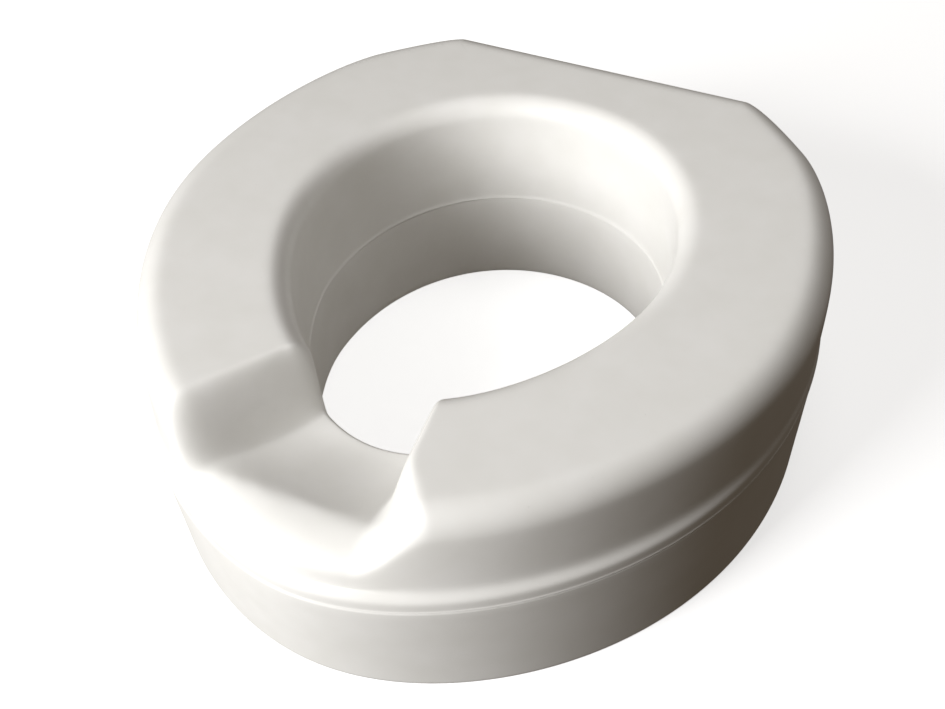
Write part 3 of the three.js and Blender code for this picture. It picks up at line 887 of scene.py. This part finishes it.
def bracket():
    """The right clamp's bracket about the middle of its width, before it is put in its place."""
    obj = block_tool((BRACKET_IN, -CLAMP_HALF, LEG_Z), (BRACKET_OUT, CLAMP_HALF, TOP_Z))
    settle(obj, "bracket")
    bpy.ops.object.mode_set(mode="EDIT")
    bpy.ops.mesh.select_all(action="SELECT")
    bpy.ops.mesh.bisect(plane_co=((BRACKET_OUT - LEG_THICK) * MM, 0, 0), plane_no=(1, 0, 0))
    bpy.ops.object.mode_set(mode="OBJECT")
    select_where(obj, "FACE", lambda f: f.normal.z < -0.9
                 and f.calc_center_median().x > (BRACKET_OUT - LEG_THICK) * MM)
    leg_drop = (0, 0, (FOOT_Z - LEG_Z) * MM)
    bpy.ops.mesh.extrude_region_move(TRANSFORM_OT_translate={"value": leg_drop})
    bpy.ops.object.mode_set(mode="OBJECT")

    def free_corner(edge):
        a, b = (v.co / MM for v in edge.verts)
        upright = abs(a.z - b.z) > 3 and max(a.x, b.x) < BRACKET_IN + 1
        foot = abs(a.x - b.x) > 3 and max(a.z, b.z) < FOOT_Z + 1
        return upright or foot
    select_where(obj, "EDGE", free_corner)
    bpy.ops.mesh.bevel(offset=BRACKET_CORNER * MM, segments=6)
    bpy.ops.object.mode_set(mode="OBJECT")
    apply_modifier(obj, "BEVEL", width=BRACKET_EDGE * MM, segments=3, limit_method="ANGLE",
                   angle_limit=math.radians(50))
    slot = block_tool((STUD_X - SLOT_HALF, -SLOT_HALF, LEG_Z - 2),
                      (STUD_X + TRAVEL + SLOT_HALF, SLOT_HALF, TOP_Z + 2))
    select_where(slot, "EDGE", lambda e: abs(e.verts[0].co.z - e.verts[1].co.z) > MM)
    bpy.ops.mesh.bevel(offset=(SLOT_HALF - 0.02) * MM, segments=10)
    bpy.ops.object.mode_set(mode="OBJECT")
    cut_out(obj, [slot])
    smooth_by_angle(obj, 35)
    return obj


def put_on_side(obj, side):
    """Moves a part of the right clamp into place, or turns it half round to the left."""
    only(obj)
    bpy.ops.object.transform_apply(location=True, rotation=True, scale=True)
    obj.rotation_euler.z = 0 if side == "right" else math.pi
    obj.location.y = CLAMP_Y * MM


# %% [markdown]
# A thumb nut has eight soft lobes: its radius rises and falls with a cosine. Its bore is plain.

# %% Thumb nuts
NUT_RADIUS = 11
NUT_LOBES = 8
LOBE_HEIGHT = 0.8
NUT_BORE = 3.3
NUT_LOW = 29
NUT_HIGH = 33.6
NUT_EDGE = 0.7


def thumb_nut():
    """The right clamp's thumb nut about the middle of the clamp's width."""
    nut = round_tool(NUT_RADIUS, NUT_LOW, NUT_HIGH, 0, 0, sides=96)
    for vertex in nut.data.vertices:
        around = math.atan2(vertex.co.y, vertex.co.x)
        vertex.co.xy *= 1 - LOBE_HEIGHT * (1 - math.cos(NUT_LOBES * around)) / NUT_RADIUS
    nut.location.x = STUD_X * MM
    apply_modifier(nut, "BEVEL", width=NUT_EDGE * MM, segments=3, limit_method="ANGLE",
                   angle_limit=math.radians(60))
    cut_out(nut, [round_tool(NUT_BORE, NUT_LOW - 2, NUT_HIGH + 2, STUD_X, 0)])
    smooth_by_angle(nut, 40)
    return nut


# %% Put the clamps together
STUD_SECTION = [
    (0, 28.7), (2.2, 28.7), (3, 29.5), (3, 62.6), (7, 62.6), (7, 65), (6.6, 65.6), (5, 66.2),
    (0, 66.2),
]
CLAMP_WASHER = [(3.3, 33.8), (8.8, 33.8), (9, 34), (9, 34.8), (8.8, 35), (3.3, 35)]
GLUE_GAP = 0.3
GRIP_FACE = BRACKET_OUT - LEG_THICK - GLUE_GAP
GRIP_Z = 15.5
for side in ("left", "right"):
    arm = bracket()
    put_on_side(arm, side)
    settle(arm, f"bracket_{side}")
    finish_piece(arm, nylon, f"clamp_{side}", f"clamp_bracket_{side}")

    face = ribbed_pad("face", length=17, width=30, base=4, rib=1, ribs=4, corner=1.5, margin=1.5)
    face.rotation_euler.y = math.pi / 2
    face.location = (GRIP_FACE * MM, 0, GRIP_Z * MM)
    put_on_side(face, side)
    settle(face, f"rubber_face_{side}")
    finish_piece(face, rubber, f"clamp_{side}", f"clamp_grip_{side}")

    nut = thumb_nut()
    put_on_side(nut, side)
    settle(nut, f"nut_{side}")
    finish_piece(nut, black_nylon, f"nut_{side}", f"thumb_nut_{side}")

    stud_place = middle_of(f"clamp_stud_{side}")
    stud = turned(f"stud_{side}", STUD_SECTION, stud_place)
    smooth_by_angle(stud, 35)
    finish_piece(stud, zinc, "seat", f"clamp_stud_{side}")
    disc = turned(f"disc_{side}", CLAMP_WASHER, stud_place, closed=True)
    smooth_by_angle(disc, 35)
    finish_piece(disc, zinc, "seat", f"clamp_washer_{side}")
print("clamps placed")
